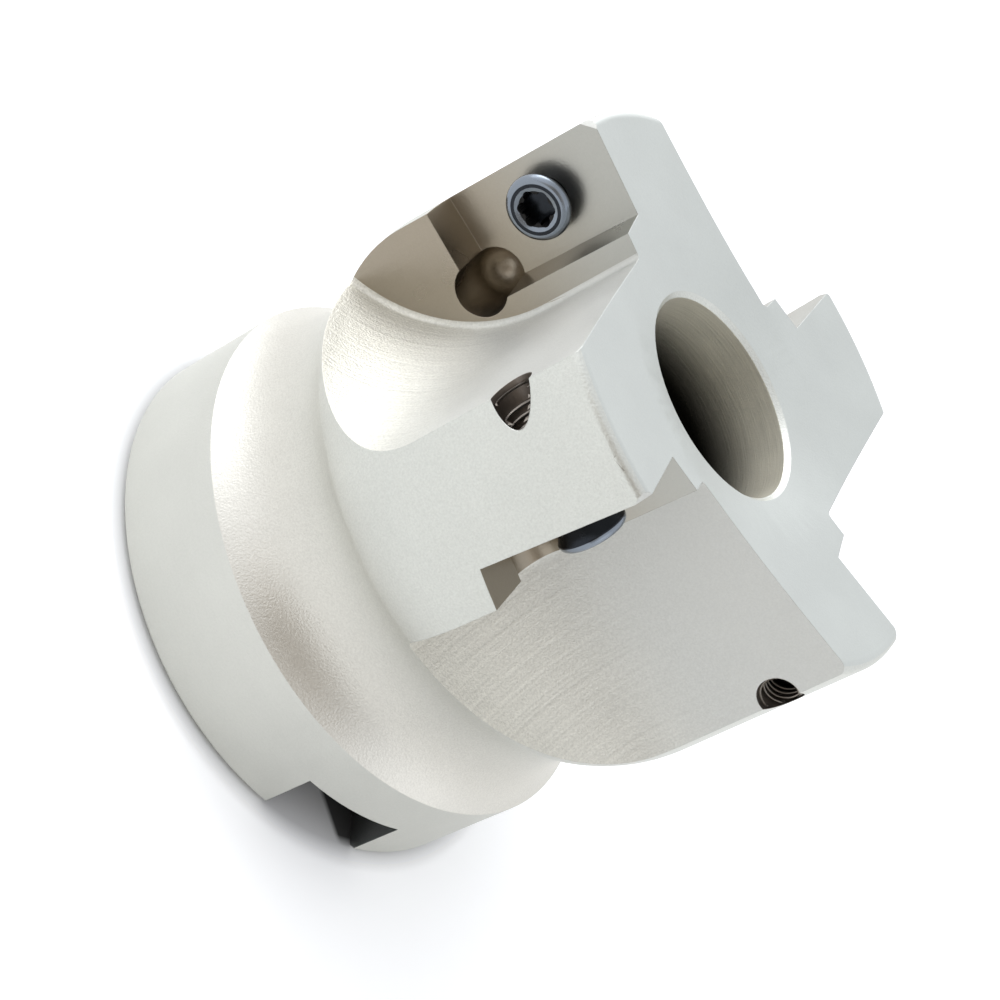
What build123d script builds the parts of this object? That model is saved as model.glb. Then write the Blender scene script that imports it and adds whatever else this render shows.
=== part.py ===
"""Indexable square-shoulder face mill: one body with four insert seats, and its four insert screws.

Frame: millimetres. The origin is the centre of the rear flange face, +Z runs along the arbor axis to the
cutting face, and the two drive slots lie along Y. Each tooth has its own frame, in which X runs outwards
from the axis and Y is the direction in which the tooth cuts. One flute, one pocket and one screw are made in
that frame and set round the axis at even steps.
"""
from build123d import *
from math import cos, radians, sin, sqrt, tan
import os

# Body, along the axis
body_height = 46.3
flange_height = 10.5
neck_waist_height = 16.5
head_rear_height = 21.9
head_round_height = 28.0

# Body, across
flange_diameter = 46.8
neck_waist_diameter = 42.4
head_rear_diameter = 45.8
head_diameter = 48.6
head_front_diameter = 47.7

# Dished cutting face, steeper inside a circle round the bolt recess
dish_angle = 7.0
inner_dish_diameter = 27.0
inner_dish_angle = 14.0

# Arbor seat, bolt hole and bolt head recess
bore_diameter = 22.0
bore_depth = 20.0
bolt_hole_diameter = 11.0
bolt_seat_thickness = 8.0
bolt_recess_diameter = 17.2

# Drive slots
slot_width = 10.4
slot_depth = 5.5

# Broken edges
rear_edge_chamfer = 0.5
bore_chamfer = 0.8
recess_chamfer = 0.4
front_edge_radius = 0.8

# Teeth, counted anticlockwise as seen from the cutting face
tooth_count = 4
first_tooth_angle = 150.0

# Flute: a flat floor beside the axis, the rake face square to it, and a run-out that narrows to the back.
# Drops are measured down from the height of the body.
flute_floor_offset = 13.1
flute_span = 22.0
flute_corner_radius = 0.5
rake_height = 1.5
rake_radial_angle = 5.0
rake_axial_angle = 1.7
runout_radius_at_rake = 15.7
runout_drop_at_rake = 10.3
runout_radius_at_back = 7.2
runout_drop_at_back = 16.3

# Insert seat, measured at the screw hole
seat_hole_offset = 20.0
seat_hole_drop = 7.25
seat_level = -2.55
seat_radial_angle = 3.15
seat_axial_angle = 3.4
seat_inner_reach = 4.15
seat_rear_reach = 7.65
seat_turn = 1.5
seat_wall_draft = 9.0

# Relief hole at the inner corner of the seat, and the relief at its outer corner
relief_hole_diameter = 4.6
relief_inner_inset = 0.9
relief_rear_inset = 0.3
relief_depth = 3.4
corner_relief_length = 1.1
corner_relief_depth = 1.0

# Tapped hole in the seat, at the middle of its thread, leaning so that the screw pulls the insert in
tapped_hole_diameter = 3.55
countersink_diameter = 4.0
screw_radial_angle = 1.1
screw_axial_angle = 4.9

# Insert screw, tight on the bare seat
screw_clearance = 0.1
screw_length = 8.0
screw_tip_chamfer = 0.3
screw_head_diameter = 5.5
screw_cone_angle = 60.0
screw_head_rim = 0.7
screw_head_edge_radius = 0.6
socket_mouth_diameter = 3.7
socket_mouth_depth = 0.25
socket_core_diameter = 2.4
socket_lobe_circle = 2.3
socket_lobe_diameter = 0.95
socket_lobe_count = 6
socket_depth = 1.5

# Room by which cuts pass beyond the body
beyond = 2.0

flange_radius = flange_diameter / 2
waist_radius = neck_waist_diameter / 2
head_rear_radius = head_rear_diameter / 2
head_radius = head_diameter / 2
head_front_radius = head_front_diameter / 2
inner_dish_radius = inner_dish_diameter / 2
bore_radius = bore_diameter / 2
bolt_hole_radius = bolt_hole_diameter / 2
recess_radius = bolt_recess_diameter / 2
recess_floor_height = bore_depth + bolt_seat_thickness
cut_reach = head_radius + beyond
seat_hole_height = body_height - seat_hole_drop


def face_height(radius):
    """Height of the dished cutting face at a distance from the axis."""
    outer_drop = (head_front_radius - max(radius, inner_dish_radius)) * tan(radians(dish_angle))
    inner_drop = max(inner_dish_radius - radius, 0) * tan(radians(inner_dish_angle))
    return body_height - outer_drop - inner_drop


def tooth_plane(offset, level, height, radial_angle, axial_angle):
    """A plane on a tooth that looks in the cutting direction, with X outwards and Y to the rear."""
    outwards = Vector(1, -tan(radians(radial_angle)), 0)
    upwards = Vector(0, tan(radians(axial_angle)), 1)
    return Plane(origin=(offset, level, height), x_dir=outwards, z_dir=upwards.cross(outwards))


def flute_outline(plane, radius, drop):
    """Section of the flute: straight floor, round run-out, then open to the outside and to the front."""
    middle = (radius * (1 - cos(radians(45))), drop + radius * sin(radians(45)))
    corner = (radius, drop + radius)
    outside = radius + cut_reach - flute_floor_offset
    with BuildSketch(plane) as outline:
        with BuildLine():
            Line((0, -beyond), (0, drop))
            ThreePointArc((0, drop), middle, corner)
            Line(corner, (outside, drop + radius))
            Line((outside, drop + radius), (outside, -beyond))
            Line((outside, -beyond), (0, -beyond))
        make_face()
    return outline.sketch


rake_plane = tooth_plane(flute_floor_offset, rake_height, body_height, rake_radial_angle, rake_axial_angle)
flute_end_plane = Plane(
    origin=(flute_floor_offset, rake_height + flute_span, body_height),
    x_dir=rake_plane.x_dir,
    z_dir=rake_plane.z_dir,
)
seat_plane = tooth_plane(seat_hole_offset, seat_level, seat_hole_height, seat_radial_angle, seat_axial_angle)
screw_plane = tooth_plane(
    seat_hole_offset, seat_level, seat_hole_height, screw_radial_angle, screw_axial_angle
)

# Flute of one tooth, with a small round at the foot of the rake face
with BuildPart() as flute_cut:
    loft(
        sections=[
            flute_outline(rake_plane, runout_radius_at_rake, runout_drop_at_rake),
            flute_outline(flute_end_plane, runout_radius_at_back, runout_drop_at_back),
        ],
        ruled=True,
    )
    rake_edges = flute_cut.faces().sort_by(Axis.Y)[0].edges()
    fillet(rake_edges.sort_by(Axis.X)[0:2], flute_corner_radius)

# Insert pocket of one tooth: the seat between its two leaning walls
pocket_height = rake_height - seat_level + beyond
pocket_length = seat_rear_reach + seat_hole_drop + beyond
pocket_width = cut_reach - seat_hole_offset + seat_inner_reach
relief_radius = relief_hole_diameter / 2
relief_x = relief_inner_inset - seat_inner_reach
relief_y = seat_rear_reach - relief_rear_inset
relief_centre = seat_plane.from_local_coords((relief_x, relief_y, relief_radius - relief_depth))
corner_x = sqrt(head_front_radius**2 - seat_level**2) - seat_hole_offset
corner_y = -seat_hole_drop
corner_outwards = (seat_plane.x_dir - seat_plane.y_dir) / corner_relief_length
corner_relief_plane = Plane(
    origin=seat_plane.from_local_coords((corner_x, corner_y, -corner_relief_depth)),
    z_dir=corner_outwards + seat_plane.z_dir / corner_relief_depth,
)
hole_radius = tapped_hole_diameter / 2
countersink_radius = countersink_diameter / 2
cone_slope = tan(radians(screw_cone_angle / 2))
countersink_depth = (countersink_radius - hole_radius) / cone_slope
countersink_reach = countersink_radius + beyond * cone_slope
hole_depth = flute_floor_offset + beyond
screw_side_plane = Plane(origin=screw_plane.origin, x_dir=screw_plane.x_dir, z_dir=-screw_plane.y_dir)
screw_axis = Axis(screw_plane.origin, screw_plane.z_dir)
with BuildPart() as pocket_cut:
    with BuildSketch(seat_plane):
        with Locations((-seat_inner_reach, seat_rear_reach)):
            Rectangle(pocket_width, pocket_length, rotation=-seat_turn, align=(Align.MIN, Align.MAX))
    extrude(amount=pocket_height, taper=-seat_wall_draft)
    with BuildSketch(Plane(origin=relief_centre, x_dir=seat_plane.x_dir, z_dir=seat_plane.z_dir)):
        Circle(relief_radius)
    extrude(amount=pocket_height + relief_depth)
    with Locations(relief_centre):
        Sphere(relief_radius)
    with BuildSketch(screw_side_plane):
        with BuildLine():
            Polyline(
                (0, beyond),
                (countersink_reach, beyond),
                (hole_radius, -countersink_depth),
                (hole_radius, -hole_depth),
                (0, -hole_depth),
                close=True,
            )
        make_face()
    revolve(axis=screw_axis)
    with BuildSketch(corner_relief_plane):
        Rectangle(4 * corner_relief_length, 4 * corner_relief_length)
    extrude(amount=corner_relief_length)

# Body, turned from one bar, then slotted and milled
recess_mouth_radius = recess_radius + recess_chamfer
with BuildPart() as cutter_body:
    with BuildSketch(Plane.XZ) as body_section:
        with BuildLine():
            Polyline(
                (bolt_hole_radius, recess_floor_height),
                (bolt_hole_radius, bore_depth),
                (bore_radius, bore_depth),
                (bore_radius, bore_chamfer),
                (bore_radius + bore_chamfer, 0),
                (flange_radius - rear_edge_chamfer, 0),
                (flange_radius, rear_edge_chamfer),
                (flange_radius, flange_height),
            )
            ThreePointArc(
                (flange_radius, flange_height),
                (waist_radius, neck_waist_height),
                (head_rear_radius, head_rear_height),
            )
            TangentArc(
                (head_radius, head_round_height),
                (head_rear_radius, head_rear_height),
                tangent=(head_radius - head_front_radius, head_round_height - body_height),
            )
            Polyline(
                (head_radius, head_round_height),
                (head_front_radius, body_height),
                (inner_dish_radius, face_height(inner_dish_radius)),
                (recess_mouth_radius, face_height(recess_mouth_radius)),
                (recess_radius, face_height(recess_mouth_radius) - recess_chamfer),
                (recess_radius, recess_floor_height),
                (bolt_hole_radius, recess_floor_height),
            )
        make_face()
        fillet(body_section.vertices().sort_by(Axis.Y)[-1], front_edge_radius)
    revolve(axis=Axis.Z)
    with BuildSketch(Plane.XY):
        Rectangle(slot_width, 2 * (flange_radius + beyond))
    extrude(amount=slot_depth, mode=Mode.SUBTRACT)
    with PolarLocations(0, tooth_count, start_angle=first_tooth_angle):
        add(flute_cut.part, mode=Mode.SUBTRACT)
    with PolarLocations(0, tooth_count, start_angle=first_tooth_angle):
        add(pocket_cut.part, mode=Mode.SUBTRACT)
cutter_body.part.label = "cutter_body"

# Insert screw of one tooth: shank in the tapped hole, cone on the countersink, six-lobed socket in the head
shank_radius = hole_radius - screw_clearance / 2
cone_root_radius = countersink_radius - screw_clearance / 2
head_radius_of_screw = screw_head_diameter / 2
cone_height = (head_radius_of_screw - cone_root_radius) / cone_slope
screw_top = cone_height + screw_head_rim
screw_end = screw_top - screw_length
socket_mouth_radius = socket_mouth_diameter / 2
with BuildPart() as insert_screw:
    with BuildSketch(screw_side_plane):
        with BuildLine():
            Polyline(
                (0, screw_top),
                (0, screw_end),
                (shank_radius - screw_tip_chamfer, screw_end),
                (shank_radius, screw_end + screw_tip_chamfer),
                (shank_radius, -countersink_depth),
                (cone_root_radius, 0),
                (head_radius_of_screw, cone_height),
                (head_radius_of_screw, screw_top - screw_head_edge_radius),
            )
            RadiusArc(
                (head_radius_of_screw, screw_top - screw_head_edge_radius),
                (head_radius_of_screw - screw_head_edge_radius, screw_top),
                -screw_head_edge_radius,
            )
            Line((head_radius_of_screw - screw_head_edge_radius, screw_top), (0, screw_top))
        make_face()
    revolve(axis=screw_axis)
    with BuildSketch(screw_plane.offset(screw_top)):
        Circle(socket_core_diameter / 2)
        with PolarLocations(socket_lobe_circle / 2, socket_lobe_count):
            Circle(socket_lobe_diameter / 2)
    extrude(amount=-socket_depth, mode=Mode.SUBTRACT)
    with BuildSketch(screw_plane.offset(screw_top)):
        Circle(socket_mouth_radius)
    with BuildSketch(screw_plane.offset(screw_top - socket_mouth_depth)):
        Circle(socket_core_diameter / 2)
    loft(mode=Mode.SUBTRACT)

os.makedirs("parts", exist_ok=True)
export_step(cutter_body.part, "parts/cutter_body.step")

for index in range(tooth_count):
    with BuildPart() as placed_screw:
        with PolarLocations(0, 1, start_angle=first_tooth_angle + index * 360 / tooth_count):
            add(insert_screw.part)
    placed_screw.part.label = f"insert_screw_{index + 1}"
    export_step(placed_screw.part, f"parts/insert_screw_{index + 1}.step")
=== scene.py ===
from math import cos, hypot, pi, radians, sin, tan

import bmesh
import bpy
from mathutils import Matrix, Vector


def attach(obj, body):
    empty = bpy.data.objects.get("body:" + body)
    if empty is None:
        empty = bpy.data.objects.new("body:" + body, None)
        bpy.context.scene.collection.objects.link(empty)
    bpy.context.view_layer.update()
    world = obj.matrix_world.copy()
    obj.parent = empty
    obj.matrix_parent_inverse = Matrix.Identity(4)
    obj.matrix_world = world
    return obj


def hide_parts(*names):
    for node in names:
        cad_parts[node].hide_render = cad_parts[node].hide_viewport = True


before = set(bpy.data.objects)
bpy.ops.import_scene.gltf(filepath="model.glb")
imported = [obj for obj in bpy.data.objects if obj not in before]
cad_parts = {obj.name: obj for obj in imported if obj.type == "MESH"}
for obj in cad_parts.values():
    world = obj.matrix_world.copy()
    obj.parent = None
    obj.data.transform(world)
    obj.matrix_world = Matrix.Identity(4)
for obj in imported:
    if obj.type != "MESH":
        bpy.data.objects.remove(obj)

# Face mill with bare insert seats, in metres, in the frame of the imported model. The rear flange face is at
# z = 0, the cutting face is up, and the teeth stand at 150, 240, 330 and 60 degrees round the axis.
MM = 0.001
TOOTH_COUNT = 4
FIRST_TOOTH_ANGLE = 150.0

# Sizes of the body that its finishes follow, in millimetres and degrees
FLANGE_HEIGHT = 10.5
HEAD_RADIUS = 24.3
HEAD_FRONT_RADIUS = 23.85
BODY_HEIGHT = 46.3
BELOW_DISH_HEIGHT = 43.0
RECESS_FLOOR_HEIGHT = 28.0
RECESS_RADIUS = 8.6
BORE_RADIUS = 11.0
FLUTE_FLOOR_OFFSET = 13.1
FLUTE_REAR_HEIGHT = 18.0
NECK_FRONT_HEIGHT = 23.0
RAKE_HEIGHT = 1.5
RAKE_RADIAL_ANGLE = 5.0
RAKE_AXIAL_ANGLE = 1.7
RAKE_FOOT_ROUND = 0.5
RAKE_SPREAD = 4.0
POCKET_REAR_HEIGHT = 29.0
POCKET_DEPTH = 7.5
SLOT_HALF_WIDTH = 5.2
SLOT_DEPTH = 5.5

# Edges: how far they are broken, the angle from which they are sharp, and the angle under which faces are one
EDGE_BREAK = 0.1
SHARP_ANGLE = 20.0
FLAT_ANGLE = 0.3
SAME_POINT = 0.0005

# A face belongs to a surface when its centre lies this close to it, in millimetres. The bore and recess
# take in a little more, and the head's outside reaches this far inside the head's front radius.
CLOSE = 0.05
BORE_MARGIN = 0.1
HEAD_MARGIN = 1.2

# How much of a direction a face's normal holds, from looking straight along it to barely leaning that way
STRAIGHT = 0.9
MOSTLY = 0.7
LEANING = 0.2
HARDLY = 0.1
BARELY = 0.04

# Tapped hole and screw of a tooth, from the middle of the hole's mouth in the tooth's own frame
HOLE_CENTRE = Vector((20.0, -2.55, 39.05))
HOLE_RADIAL_ANGLE = 1.1
HOLE_AXIAL_ANGLE = 4.9
HOLE_RADIUS = 1.775
THREAD_PITCH = 0.7
THREAD_CREST_RADIUS = 1.64
THREAD_FOOT_RADIUS = 1.8
THREAD_START = 6.1
THREAD_TURNS = 8.0
THREAD_MOUTH = 0.45
FLANK_ANGLE = 60.0
CREST_SHARE = 1 / 8
SCREW_TOP = 2.09
SCREW_EDGE_DEPTH = 0.62
SCREW_HEAD_FLAT_RADIUS = 2.15
SOCKET_MOUTH_RADIUS = 1.85
SOCKET_MOUTH_DEPTH = 0.25
SOCKET_RING_WIDTH = 0.28

# Sizes of the patterns on the metals, in millimetres: plated grain, clouds of tone, and the film on screws
GRAIN_SIZE = 0.18
CLOUD_SIZE = 6.0
FILM_SIZE = 0.7

# Nearly all values of a noise lie between the first two, and lines are darker where theirs is under the third
NOISE_LOW = 0.3
NOISE_HIGH = 0.7
LINE_DARK_TOP = 0.6

# Milled faces: their grain is full up to the first height and least from the second on, as are their lines
GRAIN_HEIGHTS = (26.0, 40.0)
LEAST_GRAIN = 0.35
LINE_HEIGHTS = (24.0, 38.0)

# Change of tone by a grain or a line of 1 mm depth, and the changes of tone and roughness by the clouds
SPECK_CONTRAST = 1.6
LINE_DARKENING = 2.5
CLOUD_CONTRAST = 0.025
CLOUD_ROUGHNESS = 0.03
FILM_ROUGHNESS = 0.08

scene = bpy.context.scene
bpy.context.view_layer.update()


def colour(code):
    """Linear colour of an sRGB hex value."""
    parts = [int(code[i:i + 2], 16) / 255 for i in (1, 3, 5)]
    return [p / 12.92 if p <= 0.04045 else ((p + 0.055) / 1.055) ** 2.4 for p in parts] + [1.0]


def add_node(tree, kind, sockets=None, **settings):
    """Adds a node with its settings. A socket takes a plain value, or an output that is linked to it."""
    node = tree.nodes.new(kind)
    for name, value in settings.items():
        setattr(node, name, value)
    for name, value in (sockets or {}).items():
        if isinstance(value, bpy.types.NodeSocket):
            tree.links.new(value, node.inputs[name])
        else:
            node.inputs[name].default_value = value
    return node


def new_material(name):
    """An empty node material."""
    material = bpy.data.materials.new(name)
    material.use_nodes = True
    material.node_tree.nodes.clear()
    return material


def direction(azimuth, elevation):
    """Unit vector towards an azimuth from +X and an elevation above the floor, in degrees."""
    level = cos(radians(elevation))
    return Vector((level * cos(radians(azimuth)), level * sin(radians(azimuth)), sin(radians(elevation))))


def leaning_normal(radial_angle, axial_angle):
    """Normal, in a tooth's frame, of a plane that faces the cut and leans by two angles."""
    return Vector((tan(radians(radial_angle)), 1, -tan(radians(axial_angle)))).normalized()


def add_cutter_lines(tree, lines, place, height, relief, base):
    """Adds the lines that the cutter left to a metal's relief and its base colour, and returns both nodes."""
    depth, steps, along_feed = lines
    feed = place
    worn = 1.0
    if along_feed:
        feed = add_node(tree, "ShaderNodeAttribute", attribute_name="across_feed").outputs["Vector"]
        worn = add_node(
            tree, "ShaderNodeMapRange",
            {"Value": height.outputs["Value"], "From Min": LINE_HEIGHTS[1], "From Max": LINE_HEIGHTS[0]},
            interpolation_type="SMOOTHSTEP",
        ).outputs["Result"]
    stretched = add_node(
        tree, "ShaderNodeMapping", {"Vector": feed, "Scale": [step / MM for step in steps]},
        vector_type="POINT",
    )
    marks = add_node(
        tree, "ShaderNodeTexNoise", {"Vector": stretched.outputs["Vector"], "Scale": 1.0, "Detail": 2.0},
    )
    relief = add_node(
        tree, "ShaderNodeBump",
        {"Height": marks.outputs["Fac"], "Distance": depth * MM, "Strength": worn,
         "Normal": relief.outputs["Normal"]},
    )
    # The lines are darker where they are deeper
    darker_in_lines = add_node(
        tree, "ShaderNodeMapRange",
        {"Value": marks.outputs["Fac"], "From Min": NOISE_LOW, "From Max": LINE_DARK_TOP,
         "To Min": 1 - LINE_DARKENING * depth, "To Max": 1.0},
    )
    kept = add_node(tree, "ShaderNodeMix", {"Factor": worn, "A": 1.0, "B": darker_in_lines.outputs["Result"]})
    base = add_node(
        tree, "ShaderNodeVectorMath", {0: base.outputs["Vector"], "Scale": kept.outputs["Result"]},
        operation="SCALE",
    )
    return relief, base


def metal(name, tones, heights, roughness, grain, lines=None, metallic=1.0):
    """A machined metal. Its tone goes from the first to the second between two heights in millimetres.

    grain is the depth in millimetres of the blasted or plated grain. lines holds what the cutter left: the
    depth of its lines, their steps along X, Y and Z per millimetre, and whether they follow its feed instead.
    """
    material = new_material(name)
    tree = material.node_tree
    place = add_node(tree, "ShaderNodeTexCoord").outputs["Object"]
    parts = add_node(tree, "ShaderNodeSeparateXYZ", {"Vector": place})
    height = add_node(tree, "ShaderNodeMath", {0: parts.outputs["Z"], 1: 1 / MM}, operation="MULTIPLY")
    fine = add_node(
        tree, "ShaderNodeTexNoise",
        {"Vector": place, "Scale": 1 / (GRAIN_SIZE * MM), "Detail": 2.0, "Roughness": 0.6},
    )
    cloud = add_node(
        tree, "ShaderNodeTexNoise", {"Vector": place, "Scale": 1 / (CLOUD_SIZE * MM), "Detail": 2.0},
    )
    tone = add_node(
        tree, "ShaderNodeMapRange",
        {"Value": height.outputs["Value"], "From Min": heights[0], "From Max": heights[1]},
        interpolation_type="SMOOTHSTEP",
    )
    pale = add_node(
        tree, "ShaderNodeMix",
        {"Factor": tone.outputs["Result"], "A": colour(tones[0]), "B": colour(tones[1])},
        data_type="RGBA",
    )
    speck = add_node(
        tree, "ShaderNodeMapRange",
        {"Value": fine.outputs["Fac"], "From Min": NOISE_LOW, "From Max": NOISE_HIGH,
         "To Min": 1 - SPECK_CONTRAST * grain, "To Max": 1 + SPECK_CONTRAST * grain},
    )
    blotch = add_node(
        tree, "ShaderNodeMapRange",
        {"Value": cloud.outputs["Fac"], "From Min": NOISE_LOW, "From Max": NOISE_HIGH,
         "To Min": 1 - CLOUD_CONTRAST, "To Max": 1 + CLOUD_CONTRAST},
    )
    # Faces milled along the feed are coarse at the run-out and fine towards the cutting face
    coarse = add_node(
        tree, "ShaderNodeMapRange",
        {"Value": height.outputs["Value"], "From Min": GRAIN_HEIGHTS[1], "From Max": GRAIN_HEIGHTS[0],
         "To Min": LEAST_GRAIN if lines and lines[2] else 1.0, "To Max": 1.0},
    )
    specked = add_node(
        tree, "ShaderNodeMix", {"Factor": coarse.outputs["Result"], "A": 1.0, "B": speck.outputs["Result"]},
    )
    tint = add_node(
        tree, "ShaderNodeMath", {0: specked.outputs["Result"], 1: blotch.outputs["Result"]},
        operation="MULTIPLY",
    )
    base = add_node(
        tree, "ShaderNodeVectorMath", {0: pale.outputs["Result"], "Scale": tint.outputs["Value"]},
        operation="SCALE",
    )
    shine = add_node(
        tree, "ShaderNodeMapRange",
        {"Value": cloud.outputs["Fac"], "From Min": NOISE_LOW, "From Max": NOISE_HIGH,
         "To Min": roughness - CLOUD_ROUGHNESS, "To Max": roughness + CLOUD_ROUGHNESS},
    )
    # Edges are broken by a tenth of a millimetre, which shows as a thin line of light
    rounded = add_node(tree, "ShaderNodeBevel", {"Radius": EDGE_BREAK * MM}, samples=4)
    relief = add_node(
        tree, "ShaderNodeBump",
        {"Height": fine.outputs["Fac"], "Distance": grain * MM, "Strength": coarse.outputs["Result"],
         "Normal": rounded.outputs["Normal"]},
    )
    if lines:
        relief, base = add_cutter_lines(tree, lines, place, height, relief, base)
    shader = add_node(
        tree, "ShaderNodeBsdfPrincipled",
        {"Base Color": base.outputs["Vector"], "Metallic": metallic, "Roughness": shine.outputs["Result"],
         "Normal": relief.outputs["Normal"]},
    )
    add_node(tree, "ShaderNodeOutputMaterial", {"Surface": shader.outputs["BSDF"]})
    return material


FINISHES = {
    # Nickel plating on fine-turned steel: pale, even, satin, with faint turning rings
    "turned": metal(
        "satin_nickel_on_turned_steel", ("#d7d8d4", "#ced2d0"), (8, 44), 0.38, 0.012,
        lines=(0.003, (0.3, 0.3, 5.0), False),
    ),
    # The same plating on the blasted neck and head, whose grain glitters
    "blasted": metal("satin_nickel_on_blasted_steel", ("#d8d6d0", "#d3d5d1"), (12, 28), 0.36, 0.036),
    # Flutes: milled along the feed, then blasted and plated, warmer and coarser towards the run-out
    # Paler towards the run-out as well: a painted reflection of the bright studio in the run-out's bowl
    "milled": metal(
        "satin_nickel_on_milled_steel_painted_reflection", ("#e4e2d9", "#cfd0cd"), (20, 36), 0.5, 0.06,
        lines=(0.05, (2.6, 0.0, 0.0), True), metallic=0.65,
    ),
    # Insert seats, their walls and the rake faces: finish-milled after plating, smoother and warmer
    "pocket": metal(
        "finish_milled_seat_steel", ("#a39a8c", "#b2b2ad"), (31, 45.5), 0.3, 0.012,
        lines=(0.003, (3.0, 3.0, 0.5), False),
    ),
    # Bore and recess: bored in rings, with painted shade that darkens them deep inside and leaves them pale
    # at the mouth
    "bored": metal(
        "bored_steel_painted_shade", ("#22211d", "#efece0"), (35.6, 41.2), 0.62, 0.006,
        lines=(0.018, (0.3, 0.3, 6.0), False),
    ),
    # Tapped holes: cut after plating, and painted dark for the shade inside them
    "tapped": metal("tapped_steel_painted_shade", ("#857d76", "#857d76"), (0, 46), 0.45, 0.01),
    # Drive slots: milled and left bare, and painted dark for the shade inside them
    "slotted": metal("milled_slot_steel_painted_shade", ("#8f9293", "#8f9293"), (0, 46), 0.4, 0.02),
}


def polished(name, code, roughness, metallic=1.0):
    """Polished or blackened screw steel, with a faint uneven film. The socket's painted shade is not
    metallic.
    """
    material = new_material(name)
    tree = material.node_tree
    place = add_node(tree, "ShaderNodeTexCoord").outputs["Object"]
    film = add_node(
        tree, "ShaderNodeTexNoise", {"Vector": place, "Scale": 1 / (FILM_SIZE * MM), "Detail": 2.0},
    )
    shine = add_node(
        tree, "ShaderNodeMapRange",
        {"Value": film.outputs["Fac"], "From Min": NOISE_LOW, "From Max": NOISE_HIGH,
         "To Min": roughness, "To Max": roughness + FILM_ROUGHNESS},
    )
    shader = add_node(
        tree, "ShaderNodeBsdfPrincipled",
        {"Base Color": colour(code), "Metallic": metallic, "Roughness": shine.outputs["Result"]},
    )
    add_node(tree, "ShaderNodeOutputMaterial", {"Surface": shader.outputs["BSDF"]})
    return material


SCREW_FINISHES = {
    # Hardened steel with a black film on the head and shank
    "film": polished("blackened_screw_steel", "#303338", 0.2),
    # Painted highlight: bright steel round the socket's mouth and on the head's round edge
    "bright": polished("screw_steel_painted_highlight", "#868e99", 0.16),
    # Painted shade: inside the socket it is near black and dull
    "socket": polished("socket_painted_shade", "#040405", 0.75, metallic=0.0),
}


def in_tooth(point, index):
    """A point or a vector in the frame of a tooth: outwards, in the direction of cut, and up."""
    angle = radians(FIRST_TOOTH_ANGLE + index * 360 / TOOTH_COUNT)
    outwards = point.x * cos(angle) + point.y * sin(angle)
    ahead = -point.x * sin(angle) + point.y * cos(angle)
    return Vector((outwards, ahead, point.z))


RAKE_NORMAL = leaning_normal(RAKE_RADIAL_ANGLE, RAKE_AXIAL_ANGLE)
RAKE_CORNER = Vector((FLUTE_FLOOR_OFFSET, RAKE_HEIGHT, BODY_HEIGHT))
HOLE_AXIS = leaning_normal(HOLE_RADIAL_ANGLE, HOLE_AXIAL_ANGLE)


def from_hole(place):
    """How far a point in a tooth's frame lies outwards along its tapped hole, and off the hole's axis."""
    way = place - HOLE_CENTRE
    along = way.dot(HOLE_AXIS)
    return along, (way - along * HOLE_AXIS).length


def finish_in_tooth(place, facing, on_outside):
    """The finish of a face near one tooth, from its centre and normal in the tooth's frame, or None."""
    along, off_axis = from_hole(place)
    if off_axis < HOLE_RADIUS + CLOSE and along < 0 and abs(facing.dot(HOLE_AXIS)) < HARDLY:
        return "tapped"
    if place.x < FLUTE_FLOOR_OFFSET or on_outside:
        return None
    over_rake = (place - RAKE_CORNER).dot(RAKE_NORMAL)
    if abs(over_rake) < RAKE_FOOT_ROUND and facing.dot(RAKE_NORMAL) > cos(radians(RAKE_SPREAD)):
        return "pocket"
    # The relief at the seat's outer front corner looks outwards, ahead and up, and isn't part of the seat
    if min(facing) > LEANING and place.z > BELOW_DISH_HEIGHT:
        return None
    if over_rake < 0 and place.y > -POCKET_DEPTH and place.z > POCKET_REAR_HEIGHT:
        return "pocket"
    return None


def finish_of(centre, normal):
    """The finish of a face of the body, from its centre in millimetres and its normal."""
    radius = hypot(centre.x, centre.y)
    outwards = (centre.x * normal.x + centre.y * normal.y) / radius
    round_axis = (centre.x * normal.y - centre.y * normal.x) / radius
    in_slot = abs(centre.x) < SLOT_HALF_WIDTH + CLOSE and centre.z < SLOT_DEPTH + CLOSE
    on_roof = normal.z < -STRAIGHT and centre.z > SLOT_DEPTH - CLOSE
    if in_slot and radius > BORE_RADIUS and (abs(normal.x) > STRAIGHT or on_roof):
        return "slotted"
    in_bore = radius < BORE_RADIUS + BORE_MARGIN and centre.z < RECESS_FLOOR_HEIGHT + CLOSE
    in_recess = radius < RECESS_RADIUS + BORE_MARGIN and outwards < -STRAIGHT
    if in_bore or in_recess:
        return "bored"
    on_head = radius > HEAD_FRONT_RADIUS - HEAD_MARGIN and outwards > MOSTLY
    on_dish = centre.z > BELOW_DISH_HEIGHT and normal.z > LEANING
    on_outside = abs(round_axis) < BARELY and (on_head or on_dish)
    for index in range(TOOTH_COUNT):
        finish = finish_in_tooth(in_tooth(centre, index), in_tooth(normal, index), on_outside)
        if finish:
            return finish
    if centre.z < FLANGE_HEIGHT + CLOSE or centre.z > BELOW_DISH_HEIGHT and normal.z > STRAIGHT:
        return "turned"
    on_neck = centre.z < FLUTE_REAR_HEIGHT or centre.z < NECK_FRONT_HEIGHT and normal.z < 0
    if on_outside or on_neck and abs(round_axis) < HARDLY:
        return "blasted"
    return "milled"


def finish_of_screw(centre, index):
    """The finish of a face of a screw, from its centre in millimetres."""
    along, off_axis = from_hole(in_tooth(centre, index))
    if along < SCREW_TOP - SCREW_EDGE_DEPTH:
        return "film"
    if off_axis > SCREW_HEAD_FLAT_RADIUS:
        return "bright"
    if off_axis > SOCKET_MOUTH_RADIUS - CLOSE:
        return "film"
    if off_axis > SOCKET_MOUTH_RADIUS - SOCKET_RING_WIDTH and along > SCREW_TOP - SOCKET_MOUTH_DEPTH:
        return "bright"
    return "socket"


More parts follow.
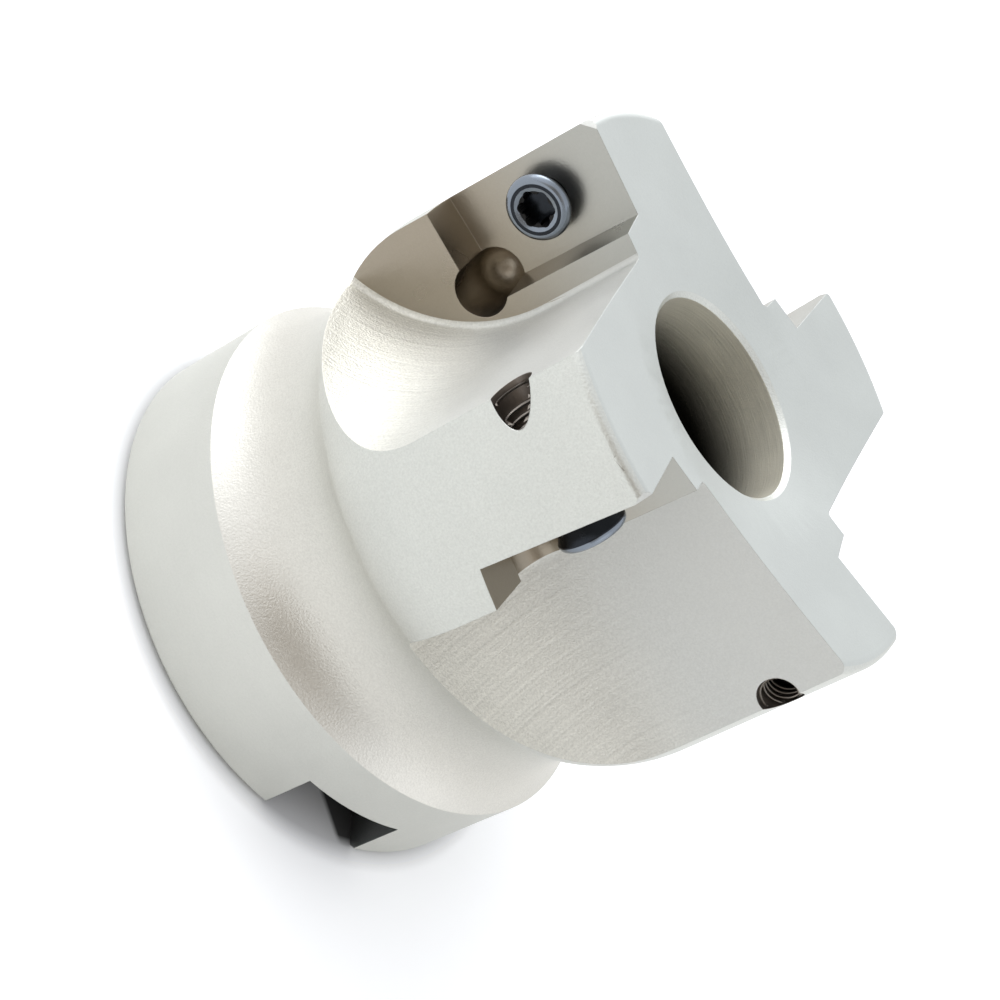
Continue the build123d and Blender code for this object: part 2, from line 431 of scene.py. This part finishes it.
def joined_copy(node, name):
    """A copy of a CAD node with its triangles joined, before its finish."""
    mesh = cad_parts[node].data.copy()
    mesh.name = name
    mesh.materials.clear()
    shape = bmesh.new()
    shape.from_mesh(mesh)
    bmesh.ops.remove_doubles(shape, verts=shape.verts, dist=SAME_POINT * MM)
    shape.to_mesh(mesh)
    shape.free()
    piece = bpy.data.objects.new(name, mesh)
    scene.collection.objects.link(piece)
    return piece


def set_finishes(mesh, finishes, choose):
    """Gives every face the finish that choose names from its centre in millimetres and its normal."""
    names = list(finishes)
    for name in names:
        mesh.materials.append(finishes[name])
    for face in mesh.polygons:
        face.material_index = names.index(choose(Vector(face.center) / MM, Vector(face.normal)))


def merge_flats(mesh):
    """Joins the triangles of each flat face and marks the sharp edges between smooth faces."""
    shape = bmesh.new()
    shape.from_mesh(mesh)
    bmesh.ops.dissolve_limit(
        shape, angle_limit=radians(FLAT_ANGLE), verts=shape.verts, edges=shape.edges, delimit={"MATERIAL"},
    )
    for face in shape.faces:
        face.smooth = True
    for edge in shape.edges:
        edge.smooth = edge.calc_face_angle(pi) < radians(SHARP_ANGLE)
    shape.to_mesh(mesh)
    shape.free()


def bake(piece):
    """Turns a piece's modifiers into its mesh."""
    evaluated = piece.evaluated_get(bpy.context.evaluated_depsgraph_get())
    mesh = bpy.data.meshes.new_from_object(evaluated)
    piece.modifiers.clear()
    piece.data = mesh
    mesh.name = piece.name


def shade_by_flats(piece):
    """Smooths the shading between sharp edges and lets the larger faces lead it."""
    merge_flats(piece.data)
    leading = piece.modifiers.new("leading_flats", "WEIGHTED_NORMAL")
    leading.weight = 80
    leading.keep_sharp = True
    bake(piece)


def mark_feed(mesh):
    """Stores, for each corner, how far it lies across the feed of the cutter that made its flute."""
    feed = mesh.attributes.new("across_feed", "FLOAT_VECTOR", "CORNER")
    for face in mesh.polygons:
        centre = Vector(face.center)
        index = max(range(TOOTH_COUNT), key=lambda i: min(in_tooth(centre, i).x, in_tooth(centre, i).y))
        for corner in face.loop_indices:
            place = in_tooth(mesh.vertices[mesh.loops[corner].vertex_index].co, index)
            feed.data[corner].vector = (place.y, place.x, place.z)


body = joined_copy("cutter_body", "cutter_body_finished")
set_finishes(body.data, FINISHES, finish_of)
shade_by_flats(body)
mark_feed(body.data)
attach(body, "root")
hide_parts("cutter_body")

for tooth in range(TOOTH_COUNT):
    node = f"insert_screw_{tooth + 1}"
    screw = joined_copy(node, node + "_finished")
    set_finishes(screw.data, SCREW_FINISHES, lambda centre, normal: finish_of_screw(centre, tooth))
    shade_by_flats(screw)
    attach(screw, "root")
    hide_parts(node)


# Threads of the four tapped holes: a ridge wound along each, cut off just short of the flute and outside
def thread_tree():
    """Ridges of an internal thread in every tooth, as a node tree with its sizes as inputs."""
    tree = bpy.data.node_groups.new("tapped_threads", "GeometryNodeTree")
    tree.interface.new_socket("Geometry", in_out="OUTPUT", socket_type="NodeSocketGeometry")
    inputs = {
        "Crest Radius": "Float", "Foot Radius": "Float", "Pitch": "Float", "Turns": "Float", "Start": "Float",
        "Head Radius": "Float", "Flute Offset": "Float", "Height": "Float", "Hole Centre": "Vector",
        "Hole Turn": "Vector", "First Angle": "Float", "Teeth": "Int", "Material": "Material",
    }
    for name, kind in inputs.items():
        tree.interface.new_socket(name, in_out="INPUT", socket_type="NodeSocket" + kind)
    given = add_node(tree, "NodeGroupInput").outputs
    length = add_node(tree, "ShaderNodeMath", {0: given["Pitch"], 1: given["Turns"]}, operation="MULTIPLY")
    helix = add_node(
        tree, "GeometryNodeCurveSpiral",
        {"Resolution": 32, "Rotations": given["Turns"], "Start Radius": given["Crest Radius"],
         "End Radius": given["Crest Radius"], "Height": length.outputs["Value"]},
    )
    # The flanks stand at 60 degrees to each other, and the crest is an eighth of the pitch wide
    ridge = add_node(
        tree, "ShaderNodeMath", {0: given["Foot Radius"], 1: given["Crest Radius"]}, operation="SUBTRACT",
    )
    crest = add_node(tree, "ShaderNodeMath", {0: given["Pitch"], 1: CREST_SHARE / 2}, operation="MULTIPLY")
    foot = add_node(
        tree, "ShaderNodeMath",
        {0: ridge.outputs["Value"], 1: tan(radians(FLANK_ANGLE / 2)), 2: crest.outputs["Value"]},
        operation="MULTIPLY_ADD",
    )
    section = add_node(tree, "GeometryNodeCurvePrimitiveQuadrilateral", mode="POINTS")
    corners = ((None, crest, 1), (ridge, foot, 1), (ridge, foot, -1), (None, crest, -1))
    for point, (depth, width, side) in enumerate(corners):
        across = add_node(tree, "ShaderNodeMath", {0: width.outputs["Value"], 1: side}, operation="MULTIPLY")
        corner = add_node(tree, "ShaderNodeCombineXYZ", {"Y": across.outputs["Value"]})
        if depth:
            tree.links.new(depth.outputs["Value"], corner.inputs["X"])
        tree.links.new(corner.outputs["Vector"], section.inputs[f"Point {point + 1}"])
    level = add_node(tree, "GeometryNodeSetCurveNormal", {"Curve": helix.outputs["Curve"]}, mode="Z_UP")
    wound = add_node(
        tree, "GeometryNodeCurveToMesh",
        {"Curve": level.outputs["Curve"], "Profile Curve": section.outputs["Curve"], "Fill Caps": True},
    )
    start = add_node(tree, "ShaderNodeCombineXYZ", {"Z": given["Start"]})
    lowered = add_node(
        tree, "GeometryNodeTransform",
        {"Geometry": wound.outputs["Mesh"], "Translation": start.outputs["Vector"]},
    )
    in_hole = add_node(
        tree, "GeometryNodeTransform",
        {"Geometry": lowered.outputs["Geometry"], "Translation": given["Hole Centre"],
         "Rotation": given["Hole Turn"]},
    )
    outside = add_node(
        tree, "GeometryNodeMeshCylinder",
        {"Vertices": 256, "Radius": given["Head Radius"], "Depth": given["Height"]},
    )
    box_size = add_node(
        tree, "ShaderNodeCombineXYZ",
        {"X": given["Height"], "Y": given["Flute Offset"], "Z": given["Height"]},
    )
    tooth_box = add_node(tree, "GeometryNodeMeshCube", {"Size": box_size.outputs["Vector"]})
    half = add_node(tree, "ShaderNodeMath", {0: given["Flute Offset"], 1: -0.5}, operation="MULTIPLY")
    behind = add_node(tree, "ShaderNodeCombineXYZ", {"Y": half.outputs["Value"]})
    placed_box = add_node(
        tree, "GeometryNodeTransform",
        {"Geometry": tooth_box.outputs["Mesh"], "Translation": behind.outputs["Vector"]},
    )
    kept = in_hole.outputs["Geometry"]
    for limit in (outside.outputs["Mesh"], placed_box.outputs["Geometry"]):
        cut = add_node(tree, "GeometryNodeMeshBoolean", operation="INTERSECT")
        tree.links.new(kept, cut.inputs["Mesh 2"])
        tree.links.new(limit, cut.inputs["Mesh 2"])
        kept = cut.outputs["Mesh"]
    teeth = add_node(tree, "GeometryNodePoints", {"Count": given["Teeth"]})
    number = add_node(tree, "GeometryNodeInputIndex")
    step = add_node(tree, "ShaderNodeMath", {0: 2 * pi, 1: given["Teeth"]}, operation="DIVIDE")
    angle = add_node(
        tree, "ShaderNodeMath",
        {0: number.outputs["Index"], 1: step.outputs["Value"], 2: given["First Angle"]},
        operation="MULTIPLY_ADD",
    )
    turn = add_node(tree, "ShaderNodeCombineXYZ", {"Z": angle.outputs["Value"]})
    placed = add_node(
        tree, "GeometryNodeInstanceOnPoints",
        {"Points": teeth.outputs["Points"], "Instance": kept, "Rotation": turn.outputs["Vector"]},
    )
    real = add_node(tree, "GeometryNodeRealizeInstances", {"Geometry": placed.outputs["Instances"]})
    finished = add_node(
        tree, "GeometryNodeSetMaterial",
        {"Geometry": real.outputs["Geometry"], "Material": given["Material"]},
    )
    add_node(tree, "NodeGroupOutput", {"Geometry": finished.outputs["Geometry"]})
    return tree


# Ridges of the thread are painted brighter than the groove between them: a painted highlight on the ridges
# beside painted shade in the groove
ridge_steel_painted_highlight = metal("thread_ridge_painted_highlight", ("#a09a93", "#a09a93"), (0, 46), 0.4, 0.006)
threads = bpy.data.objects.new("tapped_hole_threads", bpy.data.meshes.new("tapped_hole_threads"))
scene.collection.objects.link(threads)
winding = threads.modifiers.new("winding", "NODES")
winding.node_group = thread_tree()
hole_turn = HOLE_AXIS.to_track_quat("Z", "X") @ Matrix.Rotation(pi, 4, "X").to_quaternion()
thread_sizes = {
    "Crest Radius": THREAD_CREST_RADIUS * MM,
    "Foot Radius": THREAD_FOOT_RADIUS * MM,
    "Pitch": THREAD_PITCH * MM,
    "Turns": THREAD_TURNS,
    "Start": THREAD_START * MM,
    "Head Radius": (HEAD_RADIUS - THREAD_MOUTH) * MM,
    "Flute Offset": (FLUTE_FLOOR_OFFSET - THREAD_MOUTH) * MM,
    "Height": 4 * HEAD_RADIUS * MM,
    "Hole Centre": HOLE_CENTRE * MM,
    "Hole Turn": Vector(hole_turn.to_euler()),
    "First Angle": radians(FIRST_TOOTH_ANGLE),
    "Teeth": TOOTH_COUNT,
    "Material": ridge_steel_painted_highlight,
}
for socket in winding.node_group.interface.items_tree:
    if socket.in_out == "INPUT":
        winding[socket.identifier] = thread_sizes[socket.name]
bake(threads)
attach(threads, "root")

# Paper floor: how far it reaches in metres, and its tone as the metal and the camera see it
FLOOR_REACH = 3.0
FLOOR_IN_METAL = (0.95, 0.95, 0.94, 1.0)
FLOOR_TO_CAMERA = (1.19, 1.2, 1.23, 1.0)

# Shadow under the flange and beside it: the share of tone that is left at the first radius in millimetres.
# At the second it is whole.
UNDER_SHARE = 0.09
UNDER_RADII = (22.3, 23.2)
BESIDE_SHARE = 0.55
BESIDE_RADII = (23.0, 25.2)

# Light comes in under the near slot from its open side, against this direction, and ends between these
# distances along it, in millimetres from the axis
SLOT_LIGHT = (0.85, 0.53, 0.0)
SLOT_LIGHT_ENDS = (-9.0, -8.4)


def add_contact_shadow(tree, to_camera):
    """Adds the share of the floor's tone that is left near the cutter, and returns its node."""
    spot = add_node(tree, "ShaderNodeTexCoord").outputs["Object"]
    reach = add_node(tree, "ShaderNodeVectorMath", {0: spot}, operation="LENGTH")
    under = add_node(
        tree, "ShaderNodeMapRange",
        {"Value": reach.outputs["Value"], "From Min": UNDER_RADII[0] * MM, "From Max": UNDER_RADII[1] * MM,
         "To Min": UNDER_SHARE, "To Max": 1.0},
    )
    # The paper that the slot's light reaches stays pale up to a sharp edge
    across = add_node(tree, "ShaderNodeVectorMath", {0: spot, 1: SLOT_LIGHT}, operation="DOT_PRODUCT")
    sheltered = add_node(
        tree, "ShaderNodeMapRange",
        {"Value": across.outputs["Value"], "From Min": SLOT_LIGHT_ENDS[0] * MM,
         "From Max": SLOT_LIGHT_ENDS[1] * MM},
    )
    under_seen = add_node(
        tree, "ShaderNodeMix",
        {"Factor": sheltered.outputs["Result"], "A": 1.0, "B": under.outputs["Result"]},
    )
    beside = add_node(
        tree, "ShaderNodeMapRange",
        {"Value": reach.outputs["Value"], "From Min": BESIDE_RADII[0] * MM, "From Max": BESIDE_RADII[1] * MM,
         "To Min": BESIDE_SHARE, "To Max": 1.0},
    )
    beside_seen = add_node(
        tree, "ShaderNodeMix", {"Factor": to_camera, "A": 1.0, "B": beside.outputs["Result"]},
    )
    return add_node(
        tree, "ShaderNodeMath", {0: under_seen.outputs["Result"], 1: beside_seen.outputs["Result"]},
        operation="MULTIPLY",
    )


def white_paper():
    """Pale paper. The camera and the metal see it lifted to white, and it keeps the cutter's shadow."""
    material = new_material("white_paper")
    tree = material.node_tree
    rays = add_node(tree, "ShaderNodeLightPath").outputs
    seen = add_node(
        tree, "ShaderNodeMath", {0: rays["Is Camera Ray"], 1: rays["Is Glossy Ray"]}, operation="ADD",
    )
    contact = add_contact_shadow(tree, rays["Is Camera Ray"])
    shown = add_node(
        tree, "ShaderNodeMix",
        {"Factor": rays["Is Camera Ray"], "A": FLOOR_IN_METAL, "B": FLOOR_TO_CAMERA},
        data_type="RGBA",
    )
    bright_tone = add_node(
        tree, "ShaderNodeVectorMath", {0: shown.outputs["Result"], "Scale": contact.outputs["Value"]},
        operation="SCALE",
    )
    paper = add_node(tree, "ShaderNodeBsdfDiffuse", {"Color": colour("#e9eaed")})
    bright_paper = add_node(tree, "ShaderNodeBsdfDiffuse", {"Color": bright_tone.outputs["Vector"]})
    surface = add_node(
        tree, "ShaderNodeMixShader",
        {"Fac": seen.outputs["Value"], 1: paper.outputs["BSDF"], 2: bright_paper.outputs["BSDF"]},
    )
    add_node(tree, "ShaderNodeOutputMaterial", {"Surface": surface.outputs["Shader"]})
    return material


floor_mesh = bpy.data.meshes.new("floor")
floor_mesh.from_pydata(
    [(x * FLOOR_REACH, y * FLOOR_REACH, 0) for x, y in ((-1, -1), (1, -1), (1, 1), (-1, 1))],
    [], [(0, 1, 2, 3)],
)
floor_mesh.materials.append(white_paper())
floor = bpy.data.objects.new("floor", floor_mesh)
scene.collection.objects.link(floor)

# White studio: an even level, brighter towards its window and dimmer behind the camera.
# Each patch: azimuth, elevation, full inside this angle, gone outside this one, change of level.
STUDIO_LEVEL = 1.0
STUDIO_PATCHES = [
    (112, 12, 16, 60, 1.2),
    (170, 20, 8, 40, 0.25),
    (-115, 9, 6, 43, -0.6),
    (-135, 35, 4, 20, -0.3),
    (-45, 16, 6, 26, 0.35),
    (0, 90, 15, 60, -0.15),
]

# The dimmer part behind the camera is warmer, as clothes and a wooden table would make it
WARM_PATCH = (-122, 20, 6, 40, 1.0)
STUDIO_TINT = (0.99, 1.0, 1.01, 1.0)
WARM_TINT = (1.1, 1.0, 0.88, 1.0)


def add_patch(tree, gaze, azimuth, elevation, inner, outer, change):
    """Adds a round patch of the studio, and returns the change that it makes in every direction."""
    nearness = add_node(
        tree, "ShaderNodeVectorMath", {0: gaze, 1: direction(azimuth, elevation)}, operation="DOT_PRODUCT",
    )
    patch = add_node(
        tree, "ShaderNodeMapRange",
        {"Value": nearness.outputs["Value"], "From Min": cos(radians(outer)), "From Max": cos(radians(inner)),
         "To Min": 0.0, "To Max": change},
        interpolation_type="SMOOTHSTEP",
    )
    return patch.outputs["Result"]


world = bpy.data.worlds.new("white_studio")
scene.world = world
world.use_nodes = True
tree = world.node_tree
tree.nodes.clear()
gaze = add_node(tree, "ShaderNodeTexCoord").outputs["Generated"]
level = STUDIO_LEVEL
for patch in STUDIO_PATCHES:
    change = add_patch(tree, gaze, *patch)
    level = add_node(tree, "ShaderNodeMath", {0: change, 1: level}, operation="ADD").outputs["Value"]
warmth = add_patch(tree, gaze, *WARM_PATCH)
tint = add_node(
    tree, "ShaderNodeMix", {"Factor": warmth, "A": STUDIO_TINT, "B": WARM_TINT}, data_type="RGBA",
)
air = add_node(tree, "ShaderNodeBackground", {"Color": tint.outputs["Result"], "Strength": level})
add_node(tree, "ShaderNodeOutputWorld", {"Surface": air.outputs["Background"]})


def softbox(name, azimuth, elevation, distance, size, level):
    """A square area lamp that looks at the middle of the cutter. Its level is its brightness as seen."""
    data = bpy.data.lights.new(name, "AREA")
    data.size = size
    data.energy = level * pi * size * size
    lamp = bpy.data.objects.new(name, data)
    target = Vector((0, 0, 25 * MM))
    lamp.location = target + distance * direction(azimuth, elevation)
    lamp.rotation_euler = (target - lamp.location).to_track_quat("-Z", "Y").to_euler()
    scene.collection.objects.link(lamp)


softbox("window_softbox", azimuth=120, elevation=28, distance=0.6, size=0.3, level=2.5)

# Camera where the photograph was taken from, in millimetres and degrees, rolled as it was held
CAMERA_PLACE = Vector((-116.45, -114.48, 120.95))
CAMERA_AZIMUTH = -135.2776
CAMERA_ELEVATION = 31.4396
CAMERA_ROLL = 63.1814
CAMERA_LENS = 82.49
camera_data = bpy.data.cameras.new("camera")
camera_data.sensor_width = 36.0
camera_data.lens = CAMERA_LENS
camera_data.clip_start = 0.01
camera = bpy.data.objects.new("camera", camera_data)
upright = direction(CAMERA_AZIMUTH, CAMERA_ELEVATION).to_track_quat("Z", "Y").to_matrix().to_4x4()
rolled = upright @ Matrix.Rotation(radians(CAMERA_ROLL), 4, "Z")
camera.matrix_world = Matrix.Translation(CAMERA_PLACE * MM) @ rolled
scene.collection.objects.link(camera)
scene.camera = camera

scene.view_settings.view_transform = "Standard"
